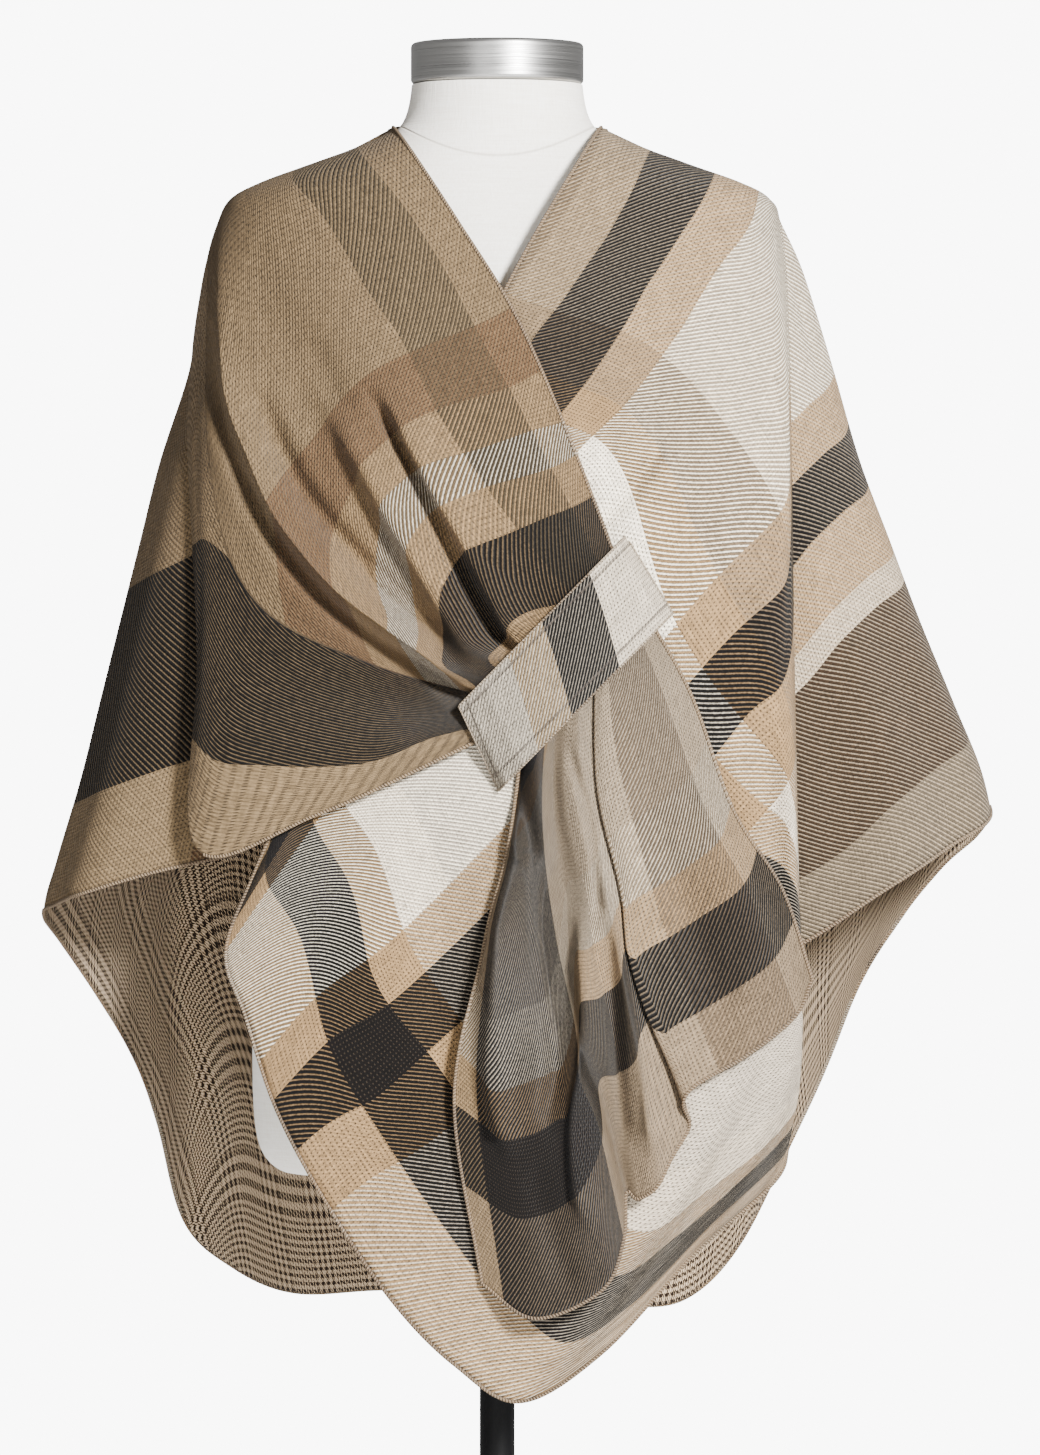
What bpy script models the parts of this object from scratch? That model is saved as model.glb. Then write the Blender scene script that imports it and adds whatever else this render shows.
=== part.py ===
"""Wrap shawl on a limbless dress form with a pole stand.

Origin on the floor under the pole, +Z up, the front of the shawl toward -Y,
+X to the viewer's right. Lengths in the tables are millimetres.
"""
import bpy
import bmesh
import numpy as np
from math import pi

MM = 0.001

# Sizes of the stand
BASE_R, BASE_H, BASE_EDGE = 180.0, 8.0, 2.0
POLE_R = 12.25
FIT_GAP = 0.4                      # air between two separate pieces
FORM_LOW, FORM_TOP = 727.0, 1491.0
CAP_R, CAP_TOP, CAP_EDGE = 60.5, 1520.0, 4.0
FORM_POWER = 2.25                  # roundness of the form's sections

# Sizes of the cloth
WALL = 2.0
CLOTH_POWER = 2.1                  # roundness of the shawl's sections
LAYER_LEFT = 6.0                   # wearer's left front, over the form
LAYER_RIGHT = 15.0                 # wearer's right front, over the left one
LAYER_TAIL = 17.0                  # tail of the right front, over the left one
SEAM_GAP = 0.6                     # between back and front along the shoulder

# Dress form sections: height, half width, depth in front, depth behind
FORM = (
    (727, 138, 80, 82), (730, 153, 92, 95), (742, 166, 102, 105),
    (765, 171, 106, 109), (810, 172, 108, 111), (870, 171, 108, 112),
    (930, 162, 104, 105), (1000, 141, 96, 90), (1060, 128, 93, 84),
    (1120, 133, 98, 86), (1172, 146, 106, 91), (1215, 160, 114, 96),
    (1250, 169, 117, 99), (1290, 176, 111, 101), (1345, 185, 97, 97),
    (1372, 187, 88, 92), (1394, 183, 80, 85), (1408, 175, 74, 79),
    (1420, 154, 69, 73), (1431, 129, 65, 69), (1440, 108.5, 62, 65),
    (1452, 80, 60, 62), (1463, 65, 59, 60), (1480, 61, 59, 60),
    (1491, 60, 60, 60),
)

# Hanging shape of the cloth: height, half width at the viewer's left and
# right, depth in front, depth behind. The rows follow the shoulder, then
# the outer fold of each cape sleeve, then the back panel.
DRAPE = (
    (1461, 73, 73, 63, 67), (1453, 84, 88, 68, 71), (1444, 106, 110, 72, 76),
    (1433, 137, 141, 78, 83), (1422, 167, 172, 84, 90), (1411, 187, 191, 89, 95),
    (1394, 196, 199, 96, 101), (1366, 204, 212, 104, 108),
    (1333, 210, 223, 114, 114), (1290, 216, 236, 124, 117),
    (1228, 236, 254, 131, 114), (1172, 250, 275, 134, 111),
    (1116, 264, 296, 135, 111), (1060, 278, 319, 135, 113),
    (1004, 292, 341, 134, 116), (950, 308, 348, 132, 119),
    (910, 318, 336, 130, 121), (850, 316, 312, 129, 122),
    (782, 304, 300, 127, 122), (690, 306, 290, 124, 121),
    (570, 306, 288, 120, 119),
)

# Back panel and the front of each cape sleeve. A row is one hanging line:
# angle in plan (0 the viewer's right, 90 behind, 180 the viewer's left),
# height of its top and of its hem, how far its fold stands out low down,
# and how far the whole line is tucked in.
BACK = (
    (0, 1459, 986, 0, 0), (14, 1461, 966, 0, 0), (26, 1462, 940, -6, 0),
    (34, 1463, 890, 0, 0), (40, 1464, 812, 5, 0), (46, 1465, 748, 0, 0),
    (54, 1466, 676, -6, 0), (64, 1467, 634, 7, 0), (74, 1468, 630, 0, 0),
    (84, 1468, 638, -7, 0), (95, 1468, 642, 6, 0), (106, 1468, 641, -6, 0),
    (117, 1467, 639, 6, 0), (127, 1466, 658, -3, 0), (135, 1465, 690, 6, 0),
    (142, 1464, 762, -4, 0), (150, 1463, 838, 0, 0), (163, 1462, 890, 5, 0),
    (180, 1459, 913, 0, 0),
)
LEFT_SLEEVE = (
    (-51, 1290, 878, 0, 31), (-43, 1330, 901, 0, 26), (-34, 1368, 934, 4, 15),
    (-22, 1386, 958, -6, 8), (-11, 1396, 974, 5, 2), (0, 1398, 986, 0, 0),
)
RIGHT_SLEEVE = (
    (180, 1296, 913, 0, 0), (192, 1318, 918, -4, 2), (206, 1330, 926, 7, 0),
    (220, 1330, 941, -3, 4), (234, 1320, 954, -4, 10),
)

# Wearer's left front, drawn from the shoulder to the front hem. A row is
# one line of the cloth at five even steps: (x, z) five times, then how far
# it stands out at the same steps.
LEFT_FRONT = (
    ((73, 1461), (5, 1340), (-50, 1209), (-106, 1080), (-164, 947), (0, 0, 0, 0, 2)),
    ((110, 1444), (66, 1308), (-12, 1158), (-96, 1018), (-186, 888), (0, 1, 0, 0, 8)),
    ((141, 1433), (109, 1280), (36, 1123), (-64, 976), (-173, 843), (0, 0, 0, 1, 0)),
    ((172, 1422), (149, 1249), (79, 1074), (-29, 920), (-150, 776), (0, 3, 0, 0, 9)),
    ((191, 1411), (181, 1217), (118, 1028), (13, 860), (-113, 708), (0, 0, 0, 1, 0)),
    ((198, 1396), (197, 1172), (149, 983), (51, 808), (-71, 647), (0, 6, 0, 0, 7)),
    ((202, 1345), (200, 1102), (174, 934), (93, 762), (-29, 604), (-6, 1, 0, 1, 4)),
    ((204, 1240), (203, 1032), (191, 899), (135, 745), (16, 578), (-12, 0, 1, 0, -3)),
    ((205, 1140), (206, 983), (203, 871), (163, 759), (72, 612), (-18, -2, 1, 2, 8)),
    ((206, 1040), (208, 934), (209, 850), (190, 769), (135, 678), (-24, -4, 0, 1, -4)),
    ((206, 960), (209, 885), (211, 836), (207, 785), (191, 728), (-27, -12, -5, 0, 4)),
    ((203, 938), (207, 878), (208, 834), (206, 790), (202, 752), (-28, -27, -26, -24, -22)),
)

# Wearer's right front, gathered from the shoulder and the side fold into
# the loop. Rows as above, from the slit edge to the side hem.
RIGHT_FRONT = (
    ((-73, 1461), (-28, 1391), (14, 1322), (52, 1234), (91, 1131), (0, 0, 0, 0, 2)),
    ((-106, 1444), (-64, 1356), (-20, 1276), (28, 1198), (78, 1119), (0, 2, 2, 5, 2)),
    ((-137, 1433), (-106, 1325), (-66, 1236), (-12, 1160), (59, 1099), (0, 2, 7, 8, 2)),
    ((-167, 1422), (-142, 1300), (-106, 1205), (-46, 1128), (43, 1083), (0, 0, 1, 0, 2)),
    ((-187, 1411), (-172, 1282), (-138, 1192), (-70, 1120), (33, 1072), (0, 2, 8, 9, 2)),
    ((-196, 1394), (-189, 1266), (-154, 1180), (-82, 1109), (23, 1062), (0, 10, 16, 17, 2)),
    ((-204, 1366), (-201, 1210), (-173, 1110), (-90, 1075), (15, 1054), (0, 4, 2, 1, 2)),
    ((-213, 1312), (-205, 1140), (-190, 1020), (-98, 1024), (7, 1046), (0, -2, 10, 10, 2)),
    ((-216, 1252), (-207, 1092), (-207, 958), (-121, 982), (0, 1038), (-9, -5, -3, 3, 2)),
)

# Tail of the right front below the loop. Rows as above, from the slit
# edge to the side hem, in flat, tube, narrow and large left fold.
TAIL = (
    ((94, 1132.5), (132, 1066), (162, 985), (196, 930), (217, 868), (0, 0, 0, 2, 4)),
    ((88, 1127), (114, 1060), (142, 983), (174, 920), (205, 842), (0, 2, 0, 0, 0)),
    ((80, 1119), (91, 1053), (114, 969), (142, 892), (172, 816), (0, 3, 3, 3, 3)),
    ((70, 1108.5), (69, 1012), (84, 941), (104, 864), (132, 792), (0, 6, 8, 8, 8)),
    ((63, 1101.5), (66, 1003), (84, 928), (103, 846), (124, 766), (0, -3, -3, -3, -3)),
    ((56, 1094.5), (58, 998), (75, 923), (93, 834), (112, 730), (0, 13, 15, 14, 12)),
    ((49, 1087.5), (47, 993), (64, 916), (80, 830), (97, 718), (0, 6, 6, 4, 3)),
    ((42, 1080), (39, 988), (53, 908), (68, 816), (89, 722), (0, -3, -3, -3, -3)),
    ((36, 1074), (31, 984), (40, 900), (62, 804), (87, 690), (0, 6, -2, 3, 6)),
    ((30, 1068), (22, 980), (24, 896), (44, 792), (72, 656), (0, 8, -1, 12, 14)),
    ((25, 1063), (14, 974), (4, 893), (8, 786), (26, 637), (0, 7, 13, 17, 15)),
    ((20, 1058), (9, 966), (-9, 888), (-29, 786), (-10, 660), (0, -1, 1, 4, 1)),
)

# Loop strap across the gathers: share of its length, how far its upper and
# its lower edge stand out
STRAP_ENDS = ((-13, 1026), (110, 1151))
STRAP_W = 60.0
STRAP = ((0.0, 27, 9), (0.04, 28, 22), (0.14, 31, 30), (0.35, 32, 32), (0.65, 32, 31),
         (0.86, 29, 28), (0.95, 26, 21), (1.0, 9, 9))


def spline(rows, at):
    """Smooth curve through evenly numbered rows, at fractional row numbers."""
    rows = np.asarray(rows, float)
    at = np.clip(np.asarray(at, float), 0, len(rows) - 1)
    i = np.minimum(at.astype(int), len(rows) - 2)
    f = (at - i).reshape((-1,) + (1,) * (rows.ndim - 1))
    ahead = np.concatenate([[rows[0] * 2 - rows[1]], rows, [rows[-1] * 2 - rows[-2]]])
    p0, p1, p2, p3 = (ahead[i + k] for k in range(4))
    return 0.5 * (2 * p1 + (p2 - p0) * f + (2 * p0 - 5 * p1 + 4 * p2 - p3) * f ** 2
                  + (3 * p1 - p0 - 3 * p2 + p3) * f ** 3)


def drape_at(z):
    """Half widths and depths of the hanging cloth at a height."""
    table = np.array(DRAPE, float)
    fine = np.linspace(0, len(table) - 1, 400)
    smooth = spline(table, fine)
    step = np.interp(-np.asarray(z, float), -smooth[:, 0], fine)
    return spline(table, step)[:, 1:]


def front_depth(x, z):
    """How far the hanging cloth stands in front of the pole's line."""
    sizes = drape_at(z)
    wide = np.where(x < 0, sizes[:, 0], sizes[:, 1])
    share = np.clip(np.abs(x) / wide, 0, 1)
    return sizes[:, 2] * (1 - share ** CLOTH_POWER) ** 0.5


def new_object(name, material):
    mesh = bpy.data.meshes.new(name)
    mesh.materials.append(material)
    thing = bpy.data.objects.new(name, mesh)
    bpy.context.scene.collection.objects.link(thing)
    return thing


def write_mesh(name, material, points, faces):
    """Closed mesh from points in millimetres, faces turned outward."""
    thing = new_object(name, material)
    shape = bmesh.new()
    verts = [shape.verts.new(tuple(float(c) * MM for c in p)) for p in points]
    for face in faces:
        shape.faces.new([verts[i] for i in face])
    bmesh.ops.recalc_face_normals(shape, faces=shape.faces)
    shape.to_mesh(thing.data)
    shape.free()
    for face in thing.data.polygons:
        face.use_smooth = True
    return thing


def cloth(name, material, grid, side=0):
    """Cloth wall: the grid is its outer face, the inner face is WALL behind."""
    across, along = grid.shape[:2]
    du = np.gradient(grid, axis=0)
    dv = np.gradient(grid, axis=1)
    normal = np.cross(du, dv)
    normal /= np.maximum(np.linalg.norm(normal, axis=2, keepdims=True), 1e-9)
    inner = grid - normal * WALL
    if side > 0:
        inner[..., 1] = np.maximum(inner[..., 1], SEAM_GAP)
    if side < 0:
        inner[..., 1] = np.minimum(inner[..., 1], 0)
    points = np.concatenate([grid.reshape(-1, 3), inner.reshape(-1, 3)])
    shift = across * along
    faces = []
    for i in range(across - 1):
        for j in range(along - 1):
            a, b = i * along + j, (i + 1) * along + j
            c, d = b + 1, a + 1
            faces += [(a, b, c), (a, c, d)]
            faces += [(a + shift, c + shift, b + shift), (a + shift, d + shift, c + shift)]
    rim = [i * along for i in range(across)]
    rim += [(across - 1) * along + j for j in range(1, along)]
    rim += [i * along + along - 1 for i in range(across - 2, -1, -1)]
    rim += [j for j in range(along - 2, 0, -1)]
    for a, b in zip(rim, rim[1:] + rim[:1]):
        faces.append((b, a, a + shift, b + shift))
    return write_mesh(name, material, points, faces)


def front_panel(name, material, lines, layer, across, along, ease):
    """Panel in front of the form, from a table of cloth lines."""
    places = np.array([line[:5] for line in lines], float)
    stands = np.array([line[5] for line in lines], float)[..., None]
    nodes = np.concatenate([places, stands], axis=2)
    down = 4 * np.linspace(0, 1, along) ** ease
    nodes = spline(nodes, np.linspace(0, len(lines) - 1, across))
    nodes = np.swapaxes(spline(np.swapaxes(nodes, 0, 1), down), 0, 1)
    x, z, stand = (nodes[..., k].ravel() for k in range(3))
    depth = front_depth(x, z)
    rise = np.clip(depth / 55.0, 0, 1)
    y = -(depth + rise * (layer + stand))
    grid = np.stack([x, y, z], axis=1).reshape(across, along, 3)
    return cloth(name, material, grid, -1)


def hung_panel(name, material, lines, across, along, ease, side):
    """Cloth hung from the neck or the shoulder, behind (1) or in front (-1)."""
    rows = spline(np.array(lines, float), np.linspace(0, len(lines) - 1, across))
    grid = np.zeros((across, along, 3))
    down = np.linspace(0, 1, along) ** ease
    power = 2 / CLOTH_POWER
    for i, (angle, top, hem, fold, tuck) in enumerate(rows):
        z = top + (hem - top) * down
        sizes = drape_at(z)
        cos, sin = np.cos(np.radians(angle)), abs(np.sin(np.radians(angle)))
        wide = sizes[:, 0] if cos < 0 else sizes[:, 1]
        deep = sizes[:, 2] if side < 0 else sizes[:, 3]
        under = tuck * np.clip((1330 - z) / 90, 0.15, 1)
        if side < 0:
            under = under + 8 * min(sin * 5, 1) * np.clip((z - 1230) / 60, 0, 1)
        swing = fold * down ** 1.2
        grid[i, :, 0] = np.sign(cos) * abs(cos) ** power * (wide + 0.4 * swing - under)
        grid[i, :, 1] = side * sin ** power * (deep + swing - under)
        grid[i, :, 2] = z
    if side > 0:
        grid[..., 1] += SEAM_GAP
    return cloth(name, material, grid[::-1], side)


def strap(name, material, across, along):
    """Loop strap, sewn down at its ends over the gathers."""
    low, high = np.array(STRAP_ENDS, float)
    run = high - low
    side = np.array([run[1], -run[0]]) / np.linalg.norm(run)
    share = np.linspace(0, 1, along)
    table = np.array(STRAP)
    upper = np.interp(share, table[:, 0], table[:, 1])
    lower = np.interp(share, table[:, 0], table[:, 2])
    grid = np.zeros((across, along, 3))
    for i, part in enumerate(np.linspace(0, 1, across)):
        place = low + share[:, None] * run + side * (part - 0.5) * STRAP_W
        depth = front_depth(place[:, 0], place[:, 1])
        stand = upper + (lower - upper) * part + 1.5 * np.sin(pi * part)
        grid[i] = np.stack([place[:, 0], -(depth + stand), place[:, 1]], axis=1)
    return cloth(name, material, grid[::-1])


def turned(name, material, rings, around):
    """Closed body from rings (height, half width, front, back), oval in plan."""
    turns = np.linspace(0, 2 * pi, around, endpoint=False)
    cos, sin = np.cos(turns), np.sin(turns)
    points, faces = [], []
    for z, wide, front, behind, power in rings:
        x = wide * np.sign(cos) * np.abs(cos) ** (2 / power)
        deep = np.where(sin < 0, front, behind)
        y = deep * np.sign(sin) * np.abs(sin) ** (2 / power)
        points += [(a, b, z) for a, b in zip(x, y)]
    for k in range(len(rings) - 1):
        for i in range(around):
            a, b = k * around + i, k * around + (i + 1) % around
            faces.append((a, b, b + around, a + around))
    faces.append(tuple(range(around))[::-1])
    faces.append(tuple(range((len(rings) - 1) * around, len(rings) * around)))
    return write_mesh(name, material, points, faces)


def round_rings(radius, low, high, edge):
    """Rings of a plain disc or cap with rounded edges."""
    bend = np.linspace(0, pi / 2, 4)
    rings = [(low + edge * (1 - np.sin(b)), radius - edge * (1 - np.cos(b))) for b in bend[::-1]]
    rings += [(high - edge * (1 - np.sin(b)), radius - edge * (1 - np.cos(b))) for b in bend]
    return [(z, r, r, r, 2.0) for z, r in rings]


def surface(name, colour, rough, metal=0.0):
    material = bpy.data.materials.new(name)
    material.use_nodes = True
    shader = material.node_tree.nodes["Principled BSDF"]
    shader.inputs["Base Color"].default_value = (*colour, 1.0)
    shader.inputs["Roughness"].default_value = rough
    shader.inputs["Metallic"].default_value = metal
    return material


for old in list(bpy.data.objects):
    bpy.data.objects.remove(old)

wool = surface("plaid_wool", (0.46, 0.33, 0.22), 0.9)
linen = surface("cream_linen", (0.74, 0.67, 0.55), 0.85)
steel = surface("brushed_steel", (0.62, 0.62, 0.61), 0.35, 1.0)
black = surface("black_enamel", (0.02, 0.02, 0.02), 0.4)

turned("base", black, round_rings(BASE_R, 0, BASE_H, BASE_EDGE), 36)
turned("pole", black, round_rings(POLE_R, BASE_H + FIT_GAP, FORM_LOW - FIT_GAP, 0.5), 16)
form = spline(np.array(FORM, float), np.linspace(0, len(FORM) - 1, 27))
power = np.interp(form[:, 0], (1400, 1463), (FORM_POWER, 2.0))
turned("form_torso", linen, [(*ring, p) for ring, p in zip(form, power)], 28)
turned("neck_cap", steel, round_rings(CAP_R, FORM_TOP + FIT_GAP, CAP_TOP, CAP_EDGE), 28)

hung_panel("shawl_back", wool, BACK, 37, 16, 1.5, 1)
hung_panel("shawl_left_sleeve", wool, LEFT_SLEEVE, 13, 12, 1.0, -1)
hung_panel("shawl_right_sleeve", wool, RIGHT_SLEEVE, 11, 12, 1.0, -1)
front_panel("shawl_left_front", wool, LEFT_FRONT, LAYER_LEFT, 28, 19, 1.6)
front_panel("shawl_right_front", wool, RIGHT_FRONT, LAYER_RIGHT, 25, 19, 1.5)
front_panel("shawl_tail", wool, TAIL, LAYER_TAIL, 34, 14, 1.0)
strap("loop_strap", wool, 5, 18)
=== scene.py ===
"""Wrap shawl on a dress form: the cloth, the form and the stand as they look."""
import bpy
import bmesh
import numpy as np
from math import pi, radians
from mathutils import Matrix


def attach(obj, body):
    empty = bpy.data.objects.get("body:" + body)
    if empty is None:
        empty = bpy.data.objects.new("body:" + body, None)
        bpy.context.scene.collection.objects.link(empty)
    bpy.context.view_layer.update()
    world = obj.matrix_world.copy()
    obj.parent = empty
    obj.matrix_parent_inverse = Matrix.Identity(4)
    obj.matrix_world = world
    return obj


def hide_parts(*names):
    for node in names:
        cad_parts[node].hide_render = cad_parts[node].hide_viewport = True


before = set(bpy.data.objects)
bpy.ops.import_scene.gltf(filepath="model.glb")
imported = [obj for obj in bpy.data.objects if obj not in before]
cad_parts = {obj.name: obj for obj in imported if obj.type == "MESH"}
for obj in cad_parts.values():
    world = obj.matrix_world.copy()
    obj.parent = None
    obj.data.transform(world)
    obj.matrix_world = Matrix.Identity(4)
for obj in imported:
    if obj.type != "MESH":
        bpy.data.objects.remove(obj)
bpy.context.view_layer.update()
MM = 0.001

# The picture's scale: millimetres a pixel, the pixel column over the pole and
# the height at the picture's upper edge.
PIXEL, POLE_COLUMN, PICTURE_TOP = 0.7, 497, 1550.1
# How square the hanging cloth is in plan (2 would be an ellipse).
SQUARE = 2.1
# A fold higher than this, in millimetres, leans upward by this share of it.
LEAN_FROM, LEAN = 6, 0.55
# The cloth's wall in metres, the strap's width in millimetres, and how many
# sides the roll of an overlocked edge has.
WALL, STRAP_WIDE, ROLL_SIDES = 0.0019, 60.0, 8
# The cut in millimetres: slit to side hem, shoulder to the front's hem and to
# the back's, and the radius of the back's corners.
HALF_WIDE, FRONT_LONG, BACK_LONG, CORNER = 590, 690, 810, 110
# The weave in metres: pitch of the twill outside and inside, and of the holes between the yarns,
# whose darkness is painted shade.
TWILL, TWILL_INSIDE, HOLES = 0.0038, 0.0033, 0.0028
# Fine cloth lines of each panel, across and along.
LEFT_FINE, RIGHT_FINE, TAIL_FINE, BACK_FINE = (190, 150), (230, 170), (240, 130), (260, 110)
SLEEVE_FINE, STRAP_FINE = (80, 80), (40, 110)
# The line of the right front's grid where the pouch of its fold begins.
POUCH_FROM = 165
# How far the outer face of each layer stands off the hanging shape.
UNDER_LAYER, UPPER_LAYER, TAIL_LAYER = 8.0, 15.0, 17.0

# Hanging shape of the cloth: height, half width at the viewer's left and
# right, depth in front, depth behind, all in millimetres.
DRAPE = (
    (1461, 73, 73, 63, 67), (1453, 84, 88, 68, 71), (1444, 106, 110, 72, 76),
    (1433, 137, 141, 78, 83), (1422, 167, 172, 84, 90), (1411, 187, 191, 89, 95),
    (1394, 196, 199, 96, 101), (1366, 204, 212, 104, 108),
    (1333, 210, 223, 114, 114), (1290, 216, 236, 124, 117),
    (1228, 236, 254, 131, 114), (1172, 250, 275, 134, 111),
    (1116, 264, 296, 135, 111), (1060, 278, 319, 135, 113),
    (1004, 292, 341, 134, 116), (950, 308, 348, 132, 119),
    (910, 318, 336, 130, 121), (850, 316, 312, 129, 122),
    (782, 304, 300, 127, 122), (690, 306, 290, 124, 121),
    (570, 306, 288, 120, 119),
)

# One hanging line a row: angle in plan, height of its top and its hem, how
# far its fold stands out, how far it is tucked in.
BACK = (
    (0, 1459, 986, 0, 0), (14, 1461, 966, 0, 0), (26, 1462, 940, -6, 0),
    (34, 1463, 890, 0, 0), (40, 1464, 812, 5, 0), (46, 1465, 748, 0, 0),
    (54, 1466, 676, -6, 0), (64, 1467, 634, 7, 0), (74, 1468, 630, 0, 0),
    (84, 1468, 638, -7, 0), (95, 1468, 642, 6, 0), (106, 1468, 641, -6, 0),
    (117, 1467, 639, 6, 0), (127, 1466, 658, -3, 0), (135, 1465, 690, 6, 0),
    (142, 1464, 762, -4, 0), (150, 1463, 838, 0, 0), (163, 1462, 890, 5, 0),
    (180, 1459, 913, 0, 0),
)
LEFT_SLEEVE = (
    (-51, 1290, 878, 0, 31), (-43, 1330, 901, 0, 26), (-34, 1368, 934, 4, 15),
    (-22, 1386, 958, -6, 8), (-11, 1396, 974, 5, 2), (0, 1398, 986, 0, 0),
)
RIGHT_SLEEVE = (
    (180, 1296, 913, 0, 0), (192, 1318, 918, -4, 2), (206, 1330, 926, 7, 0),
    (220, 1330, 941, -3, 4), (234, 1320, 954, -4, 10),
)

# Fronts and tail: a row is one line of the cloth, (x, z) at five even steps,
# then how far it stands out at the same steps.
LEFT_FRONT = (
    ((73, 1461), (5, 1340), (-50, 1209), (-106, 1080), (-164, 947), (0, 0, 0, 0, 2)),
    ((110, 1444), (66, 1308), (-12, 1158), (-96, 1018), (-186, 888), (0, 1, 0, 0, 8)),
    ((141, 1433), (109, 1280), (36, 1123), (-64, 976), (-173, 843), (0, 0, 0, 1, 0)),
    ((172, 1422), (149, 1249), (79, 1074), (-29, 920), (-150, 776), (0, 3, 0, 0, 9)),
    ((191, 1411), (181, 1217), (118, 1028), (13, 860), (-113, 708), (0, 0, 0, 1, 0)),
    ((198, 1396), (197, 1172), (149, 983), (51, 808), (-71, 647), (0, 6, 0, 0, 7)),
    ((202, 1345), (200, 1102), (174, 934), (93, 762), (-29, 604), (-6, 1, 0, 1, 4)),
    ((204, 1240), (203, 1032), (191, 899), (135, 745), (16, 578), (-12, 0, 1, 0, -3)),
    ((205, 1140), (206, 983), (203, 871), (163, 759), (72, 612), (-18, -2, 1, 2, 8)),
    ((206, 1040), (208, 934), (209, 850), (190, 769), (135, 678), (-24, -4, 0, 1, -4)),
    ((206, 960), (209, 885), (211, 836), (207, 785), (191, 728), (-27, -12, -5, 0, 4)),
    ((203, 938), (207, 878), (208, 834), (206, 790), (202, 752), (-28, -27, -26, -24, -22)),
)
RIGHT_FRONT = (
    ((-73, 1461), (-28, 1391), (14, 1322), (52, 1234), (91, 1131), (0, 0, 0, 0, 2)),
    ((-106, 1444), (-64, 1356), (-20, 1276), (28, 1198), (78, 1119), (0, 2, 2, 5, 2)),
    ((-137, 1433), (-106, 1325), (-66, 1236), (-12, 1160), (59, 1099), (0, 2, 7, 8, 2)),
    ((-167, 1422), (-142, 1300), (-106, 1205), (-46, 1128), (43, 1083), (0, 0, 1, 0, 2)),
    ((-187, 1411), (-172, 1282), (-138, 1192), (-70, 1120), (33, 1072), (0, 2, 8, 9, 2)),
    ((-196, 1394), (-189, 1266), (-154, 1180), (-82, 1109), (23, 1062), (0, 10, 16, 17, 2)),
    ((-204, 1366), (-201, 1210), (-173, 1110), (-90, 1075), (15, 1054), (0, 4, 2, 1, 2)),
    ((-213, 1312), (-205, 1140), (-190, 1020), (-98, 1024), (7, 1046), (0, -2, 10, 10, 2)),
    ((-216, 1252), (-207, 1092), (-207, 958), (-121, 982), (0, 1038), (-9, -5, -3, 3, 2)),
)
TAIL = (
    ((94, 1132.5), (132, 1066), (162, 985), (196, 930), (217, 868), (0, 0, 0, 2, 4)),
    ((88, 1127), (114, 1060), (142, 983), (174, 920), (205, 842), (0, 2, 0, 0, 0)),
    ((80, 1119), (91, 1053), (114, 969), (142, 892), (172, 816), (0, 3, 3, 3, 3)),
    ((70, 1108.5), (69, 1012), (84, 941), (104, 864), (132, 792), (0, 6, 8, 8, 8)),
    ((63, 1101.5), (66, 1003), (84, 928), (103, 846), (124, 766), (0, -3, -3, -3, -3)),
    ((56, 1094.5), (58, 998), (75, 923), (93, 834), (112, 730), (0, 13, 15, 14, 12)),
    ((49, 1087.5), (47, 993), (64, 916), (80, 830), (97, 718), (0, 6, 6, 4, 3)),
    ((42, 1080), (39, 988), (53, 908), (68, 816), (89, 722), (0, -3, -3, -3, -3)),
    ((36, 1074), (31, 984), (40, 900), (62, 804), (87, 690), (0, 6, -2, 3, 6)),
    ((30, 1068), (22, 980), (24, 896), (44, 792), (72, 656), (0, 8, -1, 12, 14)),
    ((25, 1063), (14, 974), (4, 893), (8, 786), (26, 637), (0, 7, 13, 17, 15)),
    ((20, 1058), (9, 966), (-9, 888), (-29, 786), (-10, 660), (0, -1, 1, 4, 1)),
)
STRAP_ENDS = ((-13, 1026), (110, 1151))
STRAP = ((0.0, 27, 9), (0.04, 28, 22), (0.14, 31, 30), (0.35, 32, 32), (0.65, 32, 31),
         (0.86, 29, 28), (0.95, 26, 21), (1.0, 9, 9))

# Where the woven stripes lie on the two fronts: a place in the picture, then
# how far in from the slit edge (or None), then how far from the shoulder.
LEFT_WOVEN = (
    (648, 153, 33, None), (628, 195, 33, None), (600, 245, 33, None), (560, 310, 33, None),
    (530, 345, 33, None), (712, 172, 82, None), (700, 200, 82, None), (670, 245, 82, None),
    (640, 290, 82, None), (610, 345, 82, None), (562, 415, 82, None), (758, 188, 117, None),
    (750, 220, 117, None), (720, 260, 117, None), (680, 330, 117, None), (620, 410, 117, None),
    (580, 445, 117, None), (780, 580, 299, None), (740, 620, 299, None), (682, 680, 299, None),
    (783, 660, 343, None), (770, 690, 343, None), (740, 715, 343, None), (708, 755, 343, None),
    (388, 992, 299, 590), (340, 1022, 299, 640), (427, 1045, 343, 590), (375, 1090, 343, 640),
    (275, 845, None, 640), (290, 890, None, 640), (310, 930, None, 640), (325, 980, None, 640),
    (325, 830, None, 590), (340, 860, None, 590), (360, 910, None, 590), (375, 960, None, 590),
    (455, 1205, None, 640), (544, 1300, None, 640), (597, 1267, None, 590), (381, 1172, 398, None),
    (521, 299, None, 150), (623, 331, None, 150), (673, 365, None, 150), (577, 392, None, 200),
    (637, 425, None, 200), (590, 455, None, 250), (628, 545, None, 250), (657, 624, None, 250),
    (705, 705, None, 250), (750, 760, None, 250), (790, 825, None, 250), (760, 860, None, 300),
)
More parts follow.
